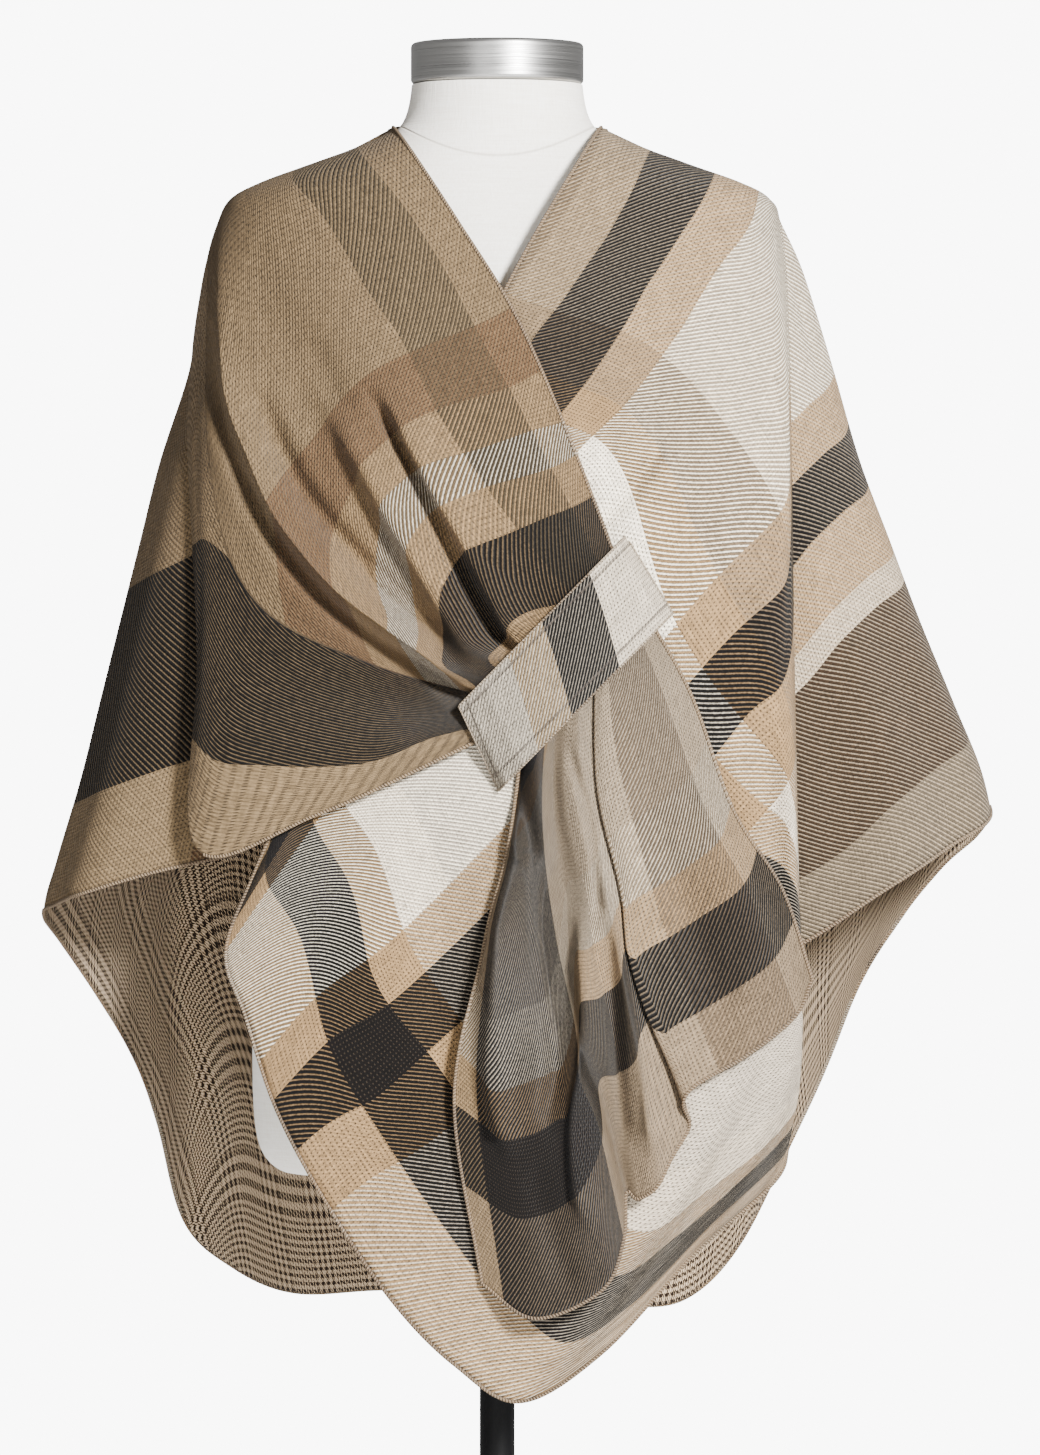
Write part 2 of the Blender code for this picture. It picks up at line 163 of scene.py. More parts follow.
RIGHT_WOVEN = (
    (352, 150, 40, None), (400, 215, 40, None), (430, 262, 40, None), (455, 305, 40, None),
    (475, 345, 40, None), (505, 400, 40, None), (292, 190, 95, None), (320, 220, 95, None),
    (345, 262, 95, None), (370, 305, 95, None), (400, 350, 95, None), (430, 410, 95, None),
    (405, 355, None, 150), (450, 338, None, 150), (480, 325, None, 150), (508, 310, None, 150),
    (430, 415, None, 200), (470, 400, None, 200), (520, 385, None, 200), (545, 370, None, 200),
    (430, 470, None, 238), (480, 455, None, 238), (530, 435, None, 238), (562, 428, None, 238),
    (445, 500, None, 262), (490, 480, None, 262), (570, 452, None, 262), (455, 562, None, 293),
    (500, 540, None, 293), (550, 517, None, 293), (590, 498, None, 293), (505, 618, None, 340),
    (550, 602, None, 340), (600, 583, None, 340), (437, 592, None, 293), (450, 572, None, 293),
    (480, 665, None, 340), (500, 640, None, 340), (395, 512, None, 250), (405, 622, None, 250),
    (467, 680, None, 293), (352, 388, None, 150), (305, 450, None, 150), (378, 452, None, 200),
    (335, 525, None, 200),
)
POUCH_WOVEN = (
    (222, 558, 365, None), (280, 560, 365, None), (330, 590, 365, None), (400, 645, 365, None),
    (460, 684, 365, None), (215, 757, 515, None), (260, 765, 515, None), (340, 768, 515, None),
    (390, 758, 515, None), (430, 738, 515, None),
)

# Folds and grooves pressed into a panel: how far one stands out (a groove is
# below 0), its half width below and above its line, the line in the picture.
RIGHT_FOLDS = (
    (12, 4, 15, ((222, 300), (230, 350), (242, 410), (258, 450), (282, 505), (308, 543), (345, 585),
                (390, 620), (435, 652), (468, 682))),
    (-14, 8, 4, ((212, 330), (222, 400), (238, 455), (264, 510), (292, 555), (333, 602), (378, 638),
                 (425, 667), (458, 692))),
    (-13, 7, 7, ((262, 395), (285, 450), (312, 500), (348, 545), (390, 590), (430, 625),
                 (460, 657))),
    (13, 10, 9, ((330, 400), (365, 455), (395, 510), (425, 560), (455, 610), (488, 655))),
    (-15, 5, 5, ((372, 400), (402, 448), (428, 500), (452, 550), (478, 600), (508, 648))),
    (11, 6, 14, ((390, 400), (420, 450), (446, 500), (472, 545), (500, 600), (520, 640))),
    (-4, 9, 9, ((300, 330), (330, 380), (352, 440), (372, 500), (398, 550))),
    (4, 14, 14, ((215, 250), (212, 330), (218, 400), (236, 480))),
    (-4, 16, 16, ((250, 230), (270, 300), (300, 380), (330, 450))),
)
LEFT_FOLDS = (
    (-5, 4, 5, ((662, 440), (648, 468), (628, 494), (606, 520), (585, 545))),
    (4, 8, 8, ((676, 450), (660, 484), (640, 512), (622, 540))),
    (-3, 12, 12, ((560, 340), (590, 420), (640, 500), (700, 560), (750, 640))),
    (3, 12, 12, ((690, 330), (700, 430), (725, 520), (755, 600))),
    (-2.5, 9, 9, ((745, 720), (760, 780), (770, 850), (775, 930))),
    (3, 8, 8, ((770, 690), (782, 760), (788, 850), (790, 950))),
    (4, 22, 22, ((330, 860), (370, 930), (400, 1010), (430, 1090), (470, 1180), (520, 1290))),
    (-4, 20, 20, ((420, 800), (440, 900), (455, 1000), (440, 1080))),
    (-3, 16, 16, ((620, 1230), (680, 1170), (740, 1100), (780, 1020))),
    (3, 16, 16, ((560, 1340), (620, 1290), (700, 1210), (760, 1130))),
)
TAIL_FOLDS = (
    (-12, 7, 9, ((548, 850), (552, 920), (556, 990), (556, 1060), (548, 1105))),
    (11, 9, 8, ((512, 880), (505, 950), (500, 1010), (498, 1070), (510, 1130))),
    (12, 8, 8, ((582, 900), (590, 980), (590, 1050), (580, 1120), (585, 1200))),
    (-9, 9, 8, ((512, 752), (522, 800), (532, 850))),
    (5, 5, 8, ((506, 770), (505, 820), (520, 860))),
    (-7, 4, 4, ((566, 742), (580, 790), (592, 850), (598, 910))),
    (-6, 5, 5, ((606, 900), (612, 980), (616, 1060), (622, 1130))),
    (9, 8, 8, ((618, 900), (636, 980), (650, 1060), (655, 1130))),
    (-3, 12, 12, ((640, 760), (660, 850), (700, 950), (730, 1010))),
    (3, 14, 14, ((690, 760), (720, 860), (760, 960))),
    (-4, 10, 10, ((530, 1150), (548, 1210), (566, 1270))),
    (-6, 20, 18, ((672, 850), (692, 930), (704, 990), (712, 1060))),
)


def spot(across, down):
    """Place in the picture turned into x and z, in millimetres."""
    return (across - POLE_COLUMN) * PIXEL, PICTURE_TOP - PIXEL * down


def spline(rows, at):
    """Smooth curve through evenly numbered rows, at fractional row numbers."""
    rows = np.asarray(rows, float)
    at = np.clip(np.asarray(at, float), 0, len(rows) - 1)
    i = np.minimum(at.astype(int), len(rows) - 2)
    f = (at - i).reshape((-1,) + (1,) * (rows.ndim - 1))
    ahead = np.concatenate([[rows[0] * 2 - rows[1]], rows, [rows[-1] * 2 - rows[-2]]])
    p0, p1, p2, p3 = (ahead[i + k] for k in range(4))
    return 0.5 * (2 * p1 + (p2 - p0) * f + (2 * p0 - 5 * p1 + 4 * p2 - p3) * f ** 2
                  + (3 * p1 - p0 - 3 * p2 + p3) * f ** 3)


def drape_at(z):
    """Half widths and depths of the hanging cloth at a height."""
    table = np.array(DRAPE, float)
    fine = np.linspace(0, len(table) - 1, 400)
    smooth = spline(table, fine)
    step = np.interp(-np.asarray(z, float), -smooth[:, 0], fine)
    return spline(table, step)[:, 1:]


def front_depth(x, z):
    """How far the hanging cloth stands in front of the pole's line."""
    sizes = drape_at(np.ravel(z))
    x = np.ravel(x)
    wide = np.where(x < 0, sizes[:, 0], sizes[:, 1])
    share = np.clip(np.abs(x) / wide, 0, 1)
    return sizes[:, 2] * (1 - share ** SQUARE) ** 0.5


def panel_nodes(lines, fine, ease):
    """x, z and stand of a front panel on a fine grid of cloth lines."""
    across, along = fine
    places = np.array([line[:5] for line in lines], float)
    stands = np.array([line[5] for line in lines], float)[..., None]
    nodes = np.concatenate([places, stands], axis=2)
    down = 4 * np.linspace(0, 1, along) ** ease
    nodes = spline(nodes, np.linspace(0, len(lines) - 1, across))
    return np.swapaxes(spline(np.swapaxes(nodes, 0, 1), down), 0, 1)


def press(nodes, folds):
    """Folds pressed into a panel's nodes, faded toward both ends of a fold."""
    place = nodes[..., :2].reshape(-1, 2)
    stand = nodes[..., 2].ravel().copy()
    lean = np.zeros(place.shape)
    for height, below, above, line in folds:
        line = np.array([spot(*point) for point in line])
        line = spline(line, np.linspace(0, len(line) - 1, 4 * len(line)))
        steps = np.linalg.norm(np.diff(line, axis=0), axis=1)
        start = np.concatenate([[0], np.cumsum(steps)])
        near = np.full(len(place), np.inf)
        signed, share = np.zeros(len(place)), np.zeros(len(place))
        upward = np.zeros(place.shape)
        for k, (a, b) in enumerate(zip(line[:-1], line[1:])):
            way = (b - a) / steps[k]
            run = np.clip((place - a) @ way, 0, steps[k])
            gap = place - a - run[:, None] * way
            away = np.linalg.norm(gap, axis=1)
            closer = away < near
            near[closer] = away[closer]
            signed[closer] = (np.sign(gap @ np.array([-way[1], way[0]])) * away)[closer]
            upward[closer] = (-way[1], way[0])
            share[closer] = ((start[k] + run) / start[-1])[closer]
        reach = np.where(signed > 0, above, below)
        ends = np.clip(np.minimum((share + 0.02) / 0.2, (1.06 - share) / 0.12), 0, 1)
        rise = height * ends * np.exp(-(signed / reach) ** 2)
        stand += rise
        if height > LEAN_FROM:
            lean += LEAN * rise[:, None] * upward
    result = nodes.copy()
    result[..., :2] -= lean.reshape(nodes.shape[:2] + (2,))
    result[..., 2] = stand.reshape(nodes.shape[:2])
    return result


def front_grid(nodes, layer):
    """Outer face of a front panel from its x, z and stand."""
    across, along = nodes.shape[:2]
    x, z, stand = (nodes[..., k].ravel() for k in range(3))
    depth = front_depth(x, z)
    rise = np.clip(depth / 55.0, 0, 1)
    y = -(depth + rise * (layer + stand))
    return np.stack([x, y, z], axis=1).reshape(across, along, 3)


def hung_grid(lines, fine, ease, side):
    """Outer face of cloth that hangs behind the form (1) or before it (-1)."""
    across, along = fine
    rows = spline(np.array(lines, float), np.linspace(0, len(lines) - 1, across))
    grid = np.zeros((across, along, 3))
    down = np.linspace(0, 1, along) ** ease
    for i, (angle, top, hem, fold, tuck) in enumerate(rows):
        z = top + (hem - top) * down
        sizes = drape_at(z)
        cos, sin = np.cos(radians(angle)), abs(np.sin(radians(angle)))
        wide = sizes[:, 0] if cos < 0 else sizes[:, 1]
        deep = sizes[:, 2] if side < 0 else sizes[:, 3]
        under = tuck * np.clip((1330 - z) / 90, 0.15, 1)
        if side < 0:
            under = under + 8 * min(sin * 5, 1) * np.clip((z - 1230) / 60, 0, 1)
        swing = fold * down ** 1.2
        grid[i, :, 0] = np.sign(cos) * abs(cos) ** (2 / SQUARE) * (wide + 0.4 * swing - under)
        grid[i, :, 1] = side * sin ** (2 / SQUARE) * (deep + swing - under)
        grid[i, :, 2] = z
    grid[..., 1] += 0.5 if side > 0 else -0.1
    return grid


def strap_grid(fine):
    """Outer face of the loop strap, sewn down at its ends."""
    across, along = fine
    low, high = np.array(STRAP_ENDS, float)
    run = high - low
    side = np.array([run[1], -run[0]]) / np.linalg.norm(run)
    share = np.linspace(0, 1, along)
    table = np.array(STRAP)
    upper = np.interp(share, table[:, 0], table[:, 1])
    lower = np.interp(share, table[:, 0], table[:, 2])
    grid = np.zeros((across, along, 3))
    for i, part in enumerate(np.linspace(0, 1, across)):
        place = low + share[:, None] * run + side * (part - 0.5) * STRAP_WIDE
        slant = (1 - share) * (12 - 22 * part) - share * 15 * part
        place = place + slant[:, None] * run / np.linalg.norm(run)
        depth = front_depth(place[:, 0], place[:, 1])
        stand = upper + (lower - upper) * part + 1.5 * np.sin(pi * part)
        grid[i] = np.stack([place[:, 0], -(depth + stand), place[:, 1]], axis=1)
    return grid


def lengths(grid, axis):
    """Distance along the cloth from the first row or column, in millimetres."""
    steps = np.linalg.norm(np.diff(grid, axis=axis), axis=2)
    first = np.zeros_like(np.take(steps, [0], axis=axis))
    return np.concatenate([first, np.cumsum(steps, axis=axis)], axis=axis)


def woven(grid, marks, edges):
    """Cloth coordinates of a panel, fitted smoothly through its stripes."""
    across, along = grid.shape[:2]
    s = lengths(grid, 0).mean(axis=1)
    t = lengths(grid, 1).mean(axis=0)
    place = np.stack(np.meshgrid(s, t, indexing="ij"), axis=2).reshape(-1, 2) / 300
    flat = grid.reshape(-1, 3)[:, [0, 2]]
    result = []
    for k in (2, 3):
        where, value = [], []
        for mark in marks:
            if mark[k] is not None:
                x, z = spot(mark[0], mark[1])
                where.append(place[np.argmin((flat[:, 0] - x) ** 2 + (flat[:, 1] - z) ** 2)])
                value.append(mark[k])
        for row, column, amount in edges[k - 2]:
            i, j = int(row * (across - 1)), int(column * (along - 1))
            where.append(place[i * along + j])
            value.append(amount)
        where, value = np.array(where), np.array(value, float)
        gap = np.linalg.norm(where[:, None] - where[None], axis=2)
        bend = gap ** 2 * np.log(gap + 1e-9)
        plane = np.concatenate([np.ones((len(where), 1)), where], axis=1)
        size = len(where)
        system = np.zeros((size + 3, size + 3))
        system[:size, :size] = bend + np.eye(size) * 0.004
        system[:size, size:] = plane
        system[size:, :size] = plane.T
        weight = np.linalg.solve(system, np.concatenate([value, np.zeros(3)]))
        gap = np.linalg.norm(place[:, None] - where[None], axis=2)
        bend = gap ** 2 * np.log(gap + 1e-9)
        fit = bend @ weight[:size] + weight[size] + place @ weight[size + 1:]
        result.append(fit.reshape(across, along))
    return np.stack(result, axis=2)


def add_map(mesh, name, faces, places):
    """UV map of a mesh, from a place in millimetres for each point."""
    layer = mesh.uv_layers.new(name=name)
    flat = np.asarray(places)[[v for face in faces for v in face]] * MM
    layer.data.foreach_set("uv", flat.astype(np.float32).ravel())


def new_piece(name, points, faces, places):
    """Mesh object from points in millimetres, with its cloth coordinates."""
    mesh = bpy.data.meshes.new(name)
    mesh.from_pydata([tuple(p) for p in np.asarray(points) * MM], [], faces)
    add_map(mesh, "cut", faces, places)
    mesh.polygons.foreach_set("use_smooth", [True] * len(mesh.polygons))
    mesh.update()
    piece = bpy.data.objects.new(name, mesh)
    bpy.context.scene.collection.objects.link(piece)
    return piece


def sew_cloth(name, grid, places, flip):
    """Cloth piece: its outer face as a grid, its wall by Solidify."""
    across, along = grid.shape[:2]
    faces = []
    for i in range(across - 1):
        for j in range(along - 1):
            a, b = i * along + j, (i + 1) * along + j
            face = (a, b, b + 1, a + 1)
            faces.append(face[::-1] if flip else face)
    piece = new_piece(name, grid.reshape(-1, 3), faces, places.reshape(-1, 2))
    wall = piece.modifiers.new("wall", "SOLIDIFY")
    wall.thickness = WALL
    wall.offset = -1
    wall.use_even_offset = True
    wall.thickness_clamp = 1.0
    wall.material_offset = 1
    return piece


def edge_roll(name, grid, cut, sides, radius=1.25):
    """Overlocked edge: a fine roll of thread along groups of (side, share)."""
    walk = {"start": (grid[0], cut[0]), "hem": (grid[:, -1], cut[:, -1]),
            "end": (grid[-1, ::-1], cut[-1, ::-1]), "top": (grid[::-1, 0], cut[::-1, 0])}
    points, faces, places, seams = [], [], [], []
    turns = np.linspace(0, 2 * pi, ROLL_SIDES, endpoint=False)
    for group in sides:
        run, flat = (np.concatenate([walk[side][k][:int(share * len(walk[side][k]))]
                                     for side, share in group]) for k in (0, 1))
        keep = np.concatenate([[True], np.linalg.norm(np.diff(run, axis=0), axis=1) > 0.5])
        run, flat = run[keep], flat[keep]
        along = np.concatenate([[0], np.cumsum(np.linalg.norm(np.diff(run, axis=0), axis=1))])
        heading = np.gradient(run, axis=0)
        heading /= np.linalg.norm(heading, axis=1, keepdims=True)
        side = np.cross(heading, (0.0, 1.0, 0.05))
        side /= np.linalg.norm(side, axis=1, keepdims=True)
        rise = np.cross(side, heading)
        start = len(points)
        for k in range(len(run)):
            ring = run[k] + radius * (np.cos(turns)[:, None] * side[k]
                                      + np.sin(turns)[:, None] * rise[k])
            points += list(ring)
            places += [flat[k]] * ROLL_SIDES
            seams += [(along[k], turn * radius) for turn in turns]
        for k in range(len(run) - 1):
            for i in range(ROLL_SIDES):
                a = start + k * ROLL_SIDES + i
                b = start + k * ROLL_SIDES + (i + 1) % ROLL_SIDES
                faces.append((a, b, b + ROLL_SIDES, a + ROLL_SIDES))
        faces.append(tuple(range(start, start + ROLL_SIDES))[::-1])
        faces.append(tuple(range(len(points) - ROLL_SIDES, len(points))))
    piece = new_piece(name, points, faces, places)
    add_map(piece.data, "stitch", faces, seams)
    shape = bmesh.new()
    shape.from_mesh(piece.data)
    bmesh.ops.recalc_face_normals(shape, faces=shape.faces)
    shape.to_mesh(piece.data)
    shape.free()
    return piece


class Finish:
    """A material and the nodes that paint it."""

    def __init__(self, name, rough=0.9, **sockets):
        self.material = bpy.data.materials.new(name)
        self.material.use_nodes = True
        self.tree = self.material.node_tree
        self.shader = self.tree.nodes["Principled BSDF"]
        self.shader.inputs["Roughness"].default_value = rough
        for socket, value in sockets.items():
            self.shader.inputs[socket.replace("_", " ")].default_value = value

    def link(self, value, socket):
        if hasattr(value, "links"):
            self.tree.links.new(value, socket)
        else:
            socket.default_value = value

    def node(self, kind, **settings):
        made = self.tree.nodes.new(kind)
        for key, value in settings.items():
            setattr(made, key, value)
        return made

    def math(self, how, *values):
        made = self.node("ShaderNodeMath", operation=how)
        for value, socket in zip(values, made.inputs):
            self.link(value, socket)
        return made.outputs[0]

    def mix(self, share, one, other, how="MIX"):
        made = self.node("ShaderNodeMix", data_type="RGBA", blend_type=how)
        self.link(share, made.inputs[0])
        self.link(one, made.inputs[6])
        self.link(other, made.inputs[7])
        return made.outputs[2]

    def grey(self, colour):
        made = self.node("ShaderNodeRGBToBW")
        self.link(colour, made.inputs[0])
        return made.outputs[0]

    def spread(self, value, low, high, to_low=0.0, to_high=1.0):
        made = self.node("ShaderNodeMapRange")
        self.link(value, made.inputs[0])
        for k, number in enumerate((low, high, to_low, to_high)):
            made.inputs[k + 1].default_value = number
        return made.outputs[0]

    def cut(self, layer="cut"):
        """Across and along the cloth, in metres, from its own UV map."""
        made = self.node("ShaderNodeUVMap", uv_map=layer)
        parts = self.node("ShaderNodeSeparateXYZ")
        self.tree.links.new(made.outputs[0], parts.inputs[0])
        return parts.outputs[0], parts.outputs[1]

    def place(self):
        """Place on the piece in metres, as one value and as x, y and z."""
        made = self.node("ShaderNodeTexCoord")
        parts = self.node("ShaderNodeSeparateXYZ")
        self.tree.links.new(made.outputs["Object"], parts.inputs[0])
        return made.outputs["Object"], parts.outputs

    def join(self, x, y, z=0.0):
        made = self.node("ShaderNodeCombineXYZ")
        for value, socket in zip((x, y, z), made.inputs):
            self.link(value, socket)
        return made.outputs[0]

    def stretch(self, parts, factors):
        """A place joined from parts, each stretched by its factor."""
        return self.join(*(self.math("MULTIPLY", part, factor)
                           for part, factor in zip(parts, factors)))

    def wave(self, value, pitch=1.0):
        return self.math("SINE", self.math("MULTIPLY", value, 2 * pi / pitch))

    def noise(self, place, scale, detail=2.0, rough=0.5):
        made = self.node("ShaderNodeTexNoise")
        self.link(place, made.inputs["Vector"])
        made.inputs["Scale"].default_value = scale
        made.inputs["Detail"].default_value = detail
        made.inputs["Roughness"].default_value = rough
        return made.outputs[0]

    def stripes(self, value, low, high, bands):
        """Colour bands along a value: (start, colour) in the value's units."""
        made = self.node("ShaderNodeValToRGB")
        ramp = made.color_ramp
        ramp.interpolation = "CONSTANT"
        for k, (start, colour) in enumerate(bands):
            share = (start - low) / (high - low)
            stop = ramp.elements[0] if k == 0 else ramp.elements.new(share)
            stop.position = share
            stop.color = (*colour, 1.0)
        ramp.elements.remove(ramp.elements[-1])
        self.link(self.spread(value, low, high), made.inputs[0])
        return made.outputs[0]

    def bump(self, height, distance, strength=1.0):
        made = self.node("ShaderNodeBump")
        made.inputs["Strength"].default_value = strength
        made.inputs["Distance"].default_value = distance
        self.link(height, made.inputs["Height"])
        self.tree.links.new(made.outputs[0], self.shader.inputs["Normal"])

    def colour(self, value):
        self.link(value, self.shader.inputs["Base Color"])


BEIGE, CREAM, WHITE = (0.150, 0.101, 0.052), (0.97, 0.87, 0.69), (0.62, 0.54, 0.42)
TAN, BROWN, TAUPE = (0.225, 0.138, 0.064), (0.075, 0.040, 0.019), (0.048, 0.034, 0.018)
SAND, NUT, PALE = (0.105, 0.069, 0.035), (0.036, 0.020, 0.009), (0.46, 0.38, 0.28)
DARK, GREY, FLAX = (0.003, 0.002, 0.0016), (0.175, 0.150, 0.115), (0.085, 0.064, 0.04)
# The last of these is the left front's pale weft, kept darker than its own tone as painted shade of
# the pouch's shadow.
OAT, ECRU, SHADED_MILK = (0.29, 0.222, 0.148), (0.50, 0.42, 0.32), (0.36, 0.305, 0.235)
CORD, HAY, HUSK = (0.125, 0.078, 0.040), (0.17, 0.125, 0.078), (0.085, 0.058, 0.034)
STRAW, CAMEL, RAW = (0.25, 0.20, 0.145), (0.17, 0.118, 0.07), (0.37, 0.32, 0.25)
# Painted shade in the holes between the yarns, the strap's stitching and the reverse's yarns.
HOLE_SHADE, STITCH = (0.035, 0.024, 0.014, 1), (0.07, 0.055, 0.045, 1)
REVERSE_DARK, REVERSE_LIGHT = (0.016, 0.009, 0.005, 1), (0.50, 0.37, 0.24, 1)


def warp_bands(outer, hem, plain=SAND, deep=TAUPE):
    """Warp bands from the wearer's right side hem to the left one, in metres.

    The slit is at 0. Outer and hem are the last two bands, plain and deep those
    of the right front.
    """
    return (
        (-0.90, BEIGE), (-0.515, DARK), (-0.365, plain), (-0.095, deep), (-0.040, plain),
        (0.0, BEIGE), (0.033, DARK), (0.082, TAN), (0.117, CREAM), (0.263, TAN),
        (0.299, DARK), (0.343, TAN), (0.389, PALE), (0.408, outer), (0.530, hem),
    )


def weft_bands(plain, deep, low, hem):
    """Weft bands from the back's hem to the front's, in metres; shoulder at 0.

    Plain and deep follow the shoulder, low and hem lie near the front's hem.
    """
    return (
        (-0.90, BEIGE), (-0.79, DARK), (-0.74, TAN), (-0.70, CREAM), (-0.45, TAN),
        (-0.40, DARK), (-0.35, TAN), (-0.32, WHITE), (-0.29, TAN), (-0.20, BROWN),
        (-0.15, BEIGE), (0.0, plain), (0.150, deep), (0.200, TAN), (0.238, WHITE),
        (0.262, TAN), (0.293, DARK), (0.340, TAN), (0.375, low), (0.500, PALE),
        (0.550, TAN), (0.590, DARK), (0.640, hem), (0.665, hem),
    )


STRAP_WARP = ((-0.10, GREY), (0.048, BEIGE), (0.080, DARK), (0.128, PALE))
STRAP_WEFT = ((-0.10, RAW), (0.030, RAW))


def twill(finish, u, v, pitch):
    """Diagonal of the weave: high where the warp lies on top."""
    return finish.wave(finish.math("MULTIPLY", finish.math("ADD", u, v), 1 / pitch))


def plaid_colour(finish, u, v, bands):
    """Plaid of warp and weft bands, and the height of its twill.

    The twill shows the more, the further apart the tones of the crossing
    threads are.
    """
    warps, wefts, low, high = bands
    warp = finish.stripes(u, low, high, warps)
    weft = finish.stripes(v, low, high, wefts)
    wave = twill(finish, u, v, TWILL)
    uneven = finish.noise(finish.join(u, v), 420, 3, 0.7)
    lifted = finish.math("ADD", wave, finish.spread(uneven, 0, 1, -0.9, 0.9))
    one, other = finish.grey(weft), finish.grey(warp)
    unlike = finish.math("DIVIDE", finish.math("SUBTRACT", one, other),
                         finish.math("ADD", finish.math("ADD", one, other), 0.01))
    apart = finish.math("ABSOLUTE", unlike)
    lifted = finish.math("MULTIPLY", lifted, finish.spread(apart, 0.2, 0.65, 0.3, 1.0))
    lifted = finish.math("ADD", lifted, finish.math("MULTIPLY", unlike, 0.7))
    colour = finish.mix(finish.spread(lifted, -0.4, 0.4), weft, warp)
    colour = finish.mix(1.0, colour, finish.spread(apart, 0.4, 0.95, 1.0, 0.5), "MULTIPLY")
    yarn = finish.math("ADD", *(finish.noise(finish.stretch((u, v), factors), 1)
                                for factors in ((900, 70), (70, 900))))
    colour = finish.mix(1.0, colour, finish.spread(yarn, 0.7, 1.3, 0.62, 1.35), "MULTIPLY")
    # Painted shade: the holes between the yarns are darkened toward a shade colour, the more where
    # the crossing tones are alike.
    holes = finish.math("MULTIPLY", *(finish.spread(finish.wave(way, HOLES), 0.1, 0.9)
                                      for way in (u, v)))
    hole_shade_mask = finish.math("MULTIPLY", holes, finish.spread(apart, 0.25, 0.7, 0.8, 0.1))
    colour = finish.mix(hole_shade_mask, colour, HOLE_SHADE)
    raised = finish.math("MULTIPLY", wave, finish.spread(apart, 0.2, 0.65, 0.5, 1.3))
    height = finish.math("ADD", raised, finish.math("MULTIPLY", uneven, 2.0))
    return colour, finish.math("SUBTRACT", height, finish.math("MULTIPLY", hole_shade_mask, 2.0))


# The plaids: warp bands, weft bands, then the reach of both.
REACH = (-0.9, 0.9)
SHAWL_BANDS = (warp_bands(NUT, FLAX), weft_bands(BEIGE, BROWN, BEIGE, CORD), *REACH)
# The left front's low weft band carries painted shade of the pouch above it.
FRONT_BANDS = (warp_bands(ECRU, ECRU), weft_bands(OAT, CAMEL, SHADED_MILK, TAN), *REACH)
TAIL_BANDS = (warp_bands(NUT, FLAX, HAY, HUSK), weft_bands(OAT, OAT, STRAW, CAMEL), *REACH)
SLEEVE_BANDS = (warp_bands(NUT, FLAX), weft_bands(OAT, OAT, OAT, OAT), *REACH)
STRAP_BANDS = (STRAP_WARP, STRAP_WEFT, -0.1, 0.3)


def plaid_outside(name, bands, stitched=False):
    """Outer side: twill plaid, with dashed stitching inside the strap's edges."""
    finish = Finish(name, 0.95, Sheen_Weight=0.04, Sheen_Roughness=0.6, Specular_IOR_Level=0.08)
    u, v = finish.cut()
    colour, height = plaid_colour(finish, u, v, bands)
    if stitched:
        low, high, left = (finish.math("ABSOLUTE", finish.math("SUBTRACT", way, seam))
                           for way, seam in ((v, 0.0055), (v, 0.0545), (u, 0.0065)))
        inset = finish.math("MINIMUM", finish.math("MINIMUM", low, high), left)
        dash = finish.wave(finish.math("ADD", u, v), 0.0034)
        line = finish.math("MULTIPLY", finish.spread(inset, 0.0004, 0.0011, 1.0, 0.0),
                           finish.spread(dash, -0.6, 0.2, 0.45, 1.0))
        colour = finish.mix(finish.math("MULTIPLY", line, 0.8), colour, STITCH)
        height = finish.math("SUBTRACT", height, finish.math("MULTIPLY", line, 3.0))
    finish.colour(colour)
    finish.bump(height, 0.0005)
    return finish.material


def plaid_inside():
    """Reverse side: a dark brown and beige houndstooth with glen checks."""
    finish = Finish("plaid_reverse", 0.95, Sheen_Weight=0.04, Sheen_Roughness=0.6,
                    Specular_IOR_Level=0.08)
    u, v = finish.cut()
    threads = []
    for value in (u, v):
        fine, wide, zone = (finish.wave(value, pitch) for pitch in (0.0050, 0.0100, 0.085))
        both = finish.mix(finish.spread(zone, 0.1, 0.3), finish.spread(fine, -0.2, 0.2),
                          finish.spread(wide, -0.2, 0.2))
        threads.append(finish.mix(both, REVERSE_LIGHT, REVERSE_DARK))
    wave = twill(finish, u, v, TWILL_INSIDE)
    uneven = finish.noise(finish.join(u, v), 500, 3, 0.7)
    lifted = finish.math("ADD", wave, finish.spread(uneven, 0, 1, -0.8, 0.8))
    colour = finish.mix(finish.spread(lifted, -0.35, 0.35), threads[0], threads[1])
    colour = finish.mix(1.0, colour, finish.spread(uneven, 0.2, 0.8, 0.75, 1.2), "MULTIPLY")
    finish.colour(colour)
    finish.bump(finish.math("ADD", wave, uneven), 0.0003)
    return finish.material


def overlock(name, bands):
    """Thread of the overlocked edge, in the cloth's own colours."""
    finish = Finish(name, 0.9, Sheen_Weight=0.04, Sheen_Roughness=0.5, Specular_IOR_Level=0.15)
    u, v = finish.cut()
    colour, _ = plaid_colour(finish, u, v, bands)
    along, around = finish.cut("stitch")
    wave = finish.wave(finish.math("ADD", finish.math("MULTIPLY", along, 1 / 0.0022),
                                   finish.math("MULTIPLY", around, 1 / 0.006)))
    turn = finish.mix(finish.spread(wave, -1, 1), (0.07, 0.045, 0.028, 1), (0.34, 0.25, 0.165, 1))
    finish.colour(finish.mix(0.55, colour, turn))
    finish.bump(wave, 0.0005)
    return finish.material


